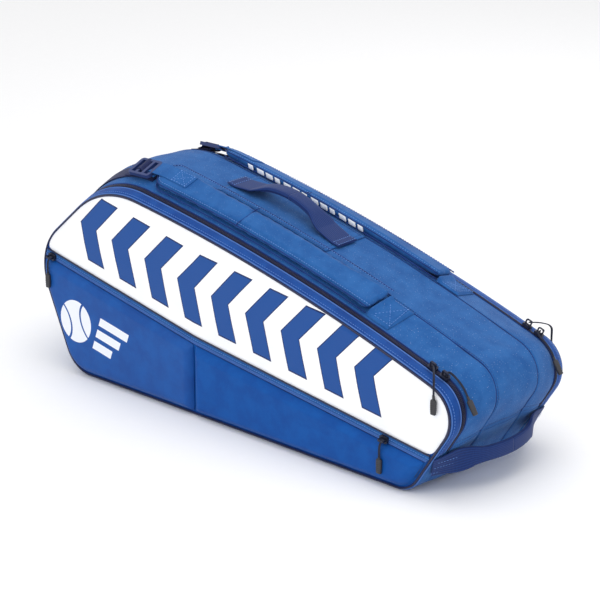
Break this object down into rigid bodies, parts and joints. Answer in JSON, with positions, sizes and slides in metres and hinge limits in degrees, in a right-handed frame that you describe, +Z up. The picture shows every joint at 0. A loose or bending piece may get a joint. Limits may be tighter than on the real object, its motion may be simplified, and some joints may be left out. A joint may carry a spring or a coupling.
{
  "type": "racket tournament bag",
  "caption": "Long two-compartment racket bag with zipped side flaps, side pockets, padded shoulder straps, a grab handle and an end handle.",
  "frame": {"origin": "middle of the base, on the surface the bag lies on", "axes": "+X from the deep head end to the slim tip end, +Y from the near side panel to the far one, +Z up"},
  "size_m": [0.7667, 0.2628, 0.3261],
  "materials": {
    "gusset_fabric": "woven polyester",
    "pocket_fabric": "coated woven polyester",
    "panel_skin": "smooth coated fabric with blue print",
    "foam_board": "lined foam board",
    "piping": "bound piping",
    "zip_tape": "knitted zip tape with coil teeth",
    "webbing": "ribbed webbing",
    "slider_metal": "black lacquer",
    "pull_plastic": "moulded soft plastic and cord",
    "buckle_plastic": "moulded nylon"
  },
  "bodies": {
    "root": {"base_panel": "gusset_fabric", "base_board": "foam_board", "centre_divider": "foam_board", "centre_gusset": "gusset_fabric", "top_handle_feet": "webbing", "handle_patch": "gusset_fabric", "end_handle_feet": "webbing", "near_gusset": "gusset_fabric", "near_bag_tape": "zip_tape", "near_strap": "gusset_fabric", "near_strap_patch": "gusset_fabric", "near_strap_tab": "gusset_fabric", "near_strap_webbing": "webbing", "far_gusset": "gusset_fabric", "far_bag_tape": "zip_tape", "far_strap": "gusset_fabric", "far_strap_patch": "gusset_fabric", "far_strap_tab": "gusset_fabric", "far_strap_webbing": "webbing"},
    "top_handle": {"top_handle": "webbing"},
    "end_handle": {"end_handle": "webbing"},
    "near_flap": {"near_panel_board": "foam_board", "near_panel_skin": "panel_skin", "near_pocket_band": "pocket_fabric", "near_piping": "piping", "near_flap_rim": "gusset_fabric", "near_flap_tape": "zip_tape"},
    "near_first_slider": {"near_first_slider": "slider_metal"},
    "near_first_pull": {"near_first_pull": "pull_plastic"},
    "near_second_slider": {"near_second_slider": "slider_metal"},
    "near_second_pull": {"near_second_pull": "pull_plastic"},
    "near_head_pocket": {"near_head_pocket": "pocket_fabric"},
    "near_head_pocket_slider": {"near_head_pocket_slider": "slider_metal"},
    "near_head_pocket_pull": {"near_head_pocket_pull": "pull_plastic"},
    "near_grip_pocket": {"near_grip_pocket": "pocket_fabric"},
    "near_grip_pocket_slider": {"near_grip_pocket_slider": "slider_metal"},
    "near_grip_pocket_pull": {"near_grip_pocket_pull": "pull_plastic"},
    "near_buckle": {"near_buckle": "buckle_plastic"},
    "far_flap": {"far_panel_board": "foam_board", "far_panel_skin": "panel_skin", "far_pocket_band": "pocket_fabric", "far_piping": "piping", "far_flap_rim": "gusset_fabric", "far_flap_tape": "zip_tape"},
    "far_first_slider": {"far_first_slider": "slider_metal"},
    "far_first_pull": {"far_first_pull": "pull_plastic"},
    "far_second_slider": {"far_second_slider": "slider_metal"},
    "far_second_pull": {"far_second_pull": "pull_plastic"},
    "far_head_pocket": {"far_head_pocket": "pocket_fabric"},
    "far_head_pocket_slider": {"far_head_pocket_slider": "slider_metal"},
    "far_head_pocket_pull": {"far_head_pocket_pull": "pull_plastic"},
    "far_grip_pocket": {"far_grip_pocket": "pocket_fabric"},
    "far_grip_pocket_slider": {"far_grip_pocket_slider": "slider_metal"},
    "far_grip_pocket_pull": {"far_grip_pocket_pull": "pull_plastic"},
    "far_buckle": {"far_buckle": "buckle_plastic"}
  },
  "joints": [
    {"name": "top_handle_swing", "type": "hinge", "parent": "root", "child": "top_handle", "pos_m": [0.00218, 0, 0.28486], "axis": [0.9742, 0, -0.2255], "range_deg": [-16, 16]},
    {"name": "end_handle_swing", "type": "hinge", "parent": "root", "child": "end_handle", "pos_m": [0.36127, 0, 0.05], "axis": [0, 1, 0], "range_deg": [-20, 20]},
    {"name": "near_flap_open", "type": "hinge", "parent": "root", "child": "near_flap", "pos_m": [0, -0.1185, 0], "axis": [1, 0, 0], "range_deg": [0, 45]},
    {"name": "near_first_slider_travel", "type": "hinge", "parent": "near_flap", "child": "near_first_slider", "pos_m": [-0.59889, -0.096, -2.47133], "axis": [0, -1, 0], "range_deg": [0, 10]},
    {"name": "near_first_pull_swing", "type": "hinge", "parent": "near_first_slider", "child": "near_first_pull", "pos_m": [0.32476, -0.09839, 0.17426], "axis": [0, 1, 0], "range_deg": [-12, 10]},
    {"name": "near_second_slider_travel", "type": "hinge", "parent": "near_flap", "child": "near_second_slider", "pos_m": [0.32736, -0.096, 0.11675], "axis": [0, 1, 0], "range_deg": [0, 92]},
    {"name": "near_second_pull_hang", "type": "hinge", "parent": "near_second_slider", "child": "near_second_pull", "pos_m": [0.34382, -0.09837, 0.16753], "axis": [0, 1, 0], "range_deg": [-92, 0]},
    {"name": "near_head_pocket_open", "type": "hinge", "parent": "near_flap", "child": "near_head_pocket", "pos_m": [0, -0.1168, 0.005], "axis": [1, 0, 0], "range_deg": [0, 18]},
    {"name": "near_head_pocket_slider_travel", "type": "slide", "parent": "near_head_pocket", "child": "near_head_pocket_slider", "axis": [0.9796, 0, -0.2011], "range_m": [0, 0.25]},
    {"name": "near_head_pocket_pull_swing", "type": "hinge", "parent": "near_head_pocket_slider", "child": "near_head_pocket_pull", "pos_m": [-0.345, -0.1251, 0.16565], "axis": [0, 1, 0], "range_deg": [-20, 20]},
    {"name": "near_grip_pocket_open", "type": "hinge", "parent": "near_flap", "child": "near_grip_pocket", "pos_m": [0, -0.1168, 0.005], "axis": [1, 0, 0], "range_deg": [0, 18]},
    {"name": "near_grip_pocket_slider_travel", "type": "slide", "parent": "near_grip_pocket", "child": "near_grip_pocket_slider", "axis": [0.9912, 0, -0.1322], "range_m": [-0.31, 0]},
    {"name": "near_grip_pocket_pull_swing", "type": "hinge", "parent": "near_grip_pocket_slider", "child": "near_grip_pocket_pull", "pos_m": [0.266, -0.1251, 0.06424], "axis": [0, 1, 0], "range_deg": [-20, 20]},
    {"name": "near_buckle_tilt", "type": "hinge", "parent": "root", "child": "near_buckle", "pos_m": [-0.18574, -0.06969, 0.31349], "axis": [-0.01, 0.9278, 0.373], "range_deg": [0, 35]},
    {"name": "far_flap_open", "type": "hinge", "parent": "root", "child": "far_flap", "pos_m": [0, 0.1185, 0], "axis": [-1, 0, 0], "range_deg": [0, 45]},
    {"name": "far_first_slider_travel", "type": "hinge", "parent": "far_flap", "child": "far_first_slider", "pos_m": [-0.59889, 0.096, -2.47133], "axis": [0, -1, 0], "range_deg": [0, 10]},
    {"name": "far_first_pull_swing", "type": "hinge", "parent": "far_first_slider", "child": "far_first_pull", "pos_m": [0.32476, 0.09839, 0.17426], "axis": [0, 1, 0], "range_deg": [-12, 10]},
    {"name": "far_second_slider_travel", "type": "hinge", "parent": "far_flap", "child": "far_second_slider", "pos_m": [0.32736, 0.096, 0.11675], "axis": [0, 1, 0], "range_deg": [0, 92]},
    {"name": "far_second_pull_hang", "type": "hinge", "parent": "far_second_slider", "child": "far_second_pull", "pos_m": [0.34382, 0.09837, 0.16753], "axis": [0, 1, 0], "range_deg": [-92, 0]},
    {"name": "far_head_pocket_open", "type": "hinge", "parent": "far_flap", "child": "far_head_pocket", "pos_m": [0, 0.1168, 0.005], "axis": [-1, 0, 0], "range_deg": [0, 18]},
    {"name": "far_head_pocket_slider_travel", "type": "slide", "parent": "far_head_pocket", "child": "far_head_pocket_slider", "axis": [0.9796, 0, -0.2011], "range_m": [0, 0.25]},
    {"name": "far_head_pocket_pull_swing", "type": "hinge", "parent": "far_head_pocket_slider", "child": "far_head_pocket_pull", "pos_m": [-0.345, 0.1251, 0.16565], "axis": [0, 1, 0], "range_deg": [-20, 20]},
    {"name": "far_grip_pocket_open", "type": "hinge", "parent": "far_flap", "child": "far_grip_pocket", "pos_m": [0, 0.1168, 0.005], "axis": [-1, 0, 0], "range_deg": [0, 18]},
    {"name": "far_grip_pocket_slider_travel", "type": "slide", "parent": "far_grip_pocket", "child": "far_grip_pocket_slider", "axis": [0.9912, 0, -0.1322], "range_m": [-0.31, 0]},
    {"name": "far_grip_pocket_pull_swing", "type": "hinge", "parent": "far_grip_pocket_slider", "child": "far_grip_pocket_pull", "pos_m": [0.266, 0.1251, 0.06424], "axis": [0, 1, 0], "range_deg": [-20, 20]},
    {"name": "far_buckle_tilt", "type": "hinge", "parent": "root", "child": "far_buckle", "pos_m": [-0.18574, 0.06969, 0.31349], "axis": [0.01, 0.9278, -0.373], "range_deg": [0, 35]}
  ],
  "couplings": [
    {"joint": "near_second_pull_hang", "follows": "near_second_slider_travel", "ratio": -1},
    {"joint": "far_second_pull_hang", "follows": "far_second_slider_travel", "ratio": -1}
  ]
}
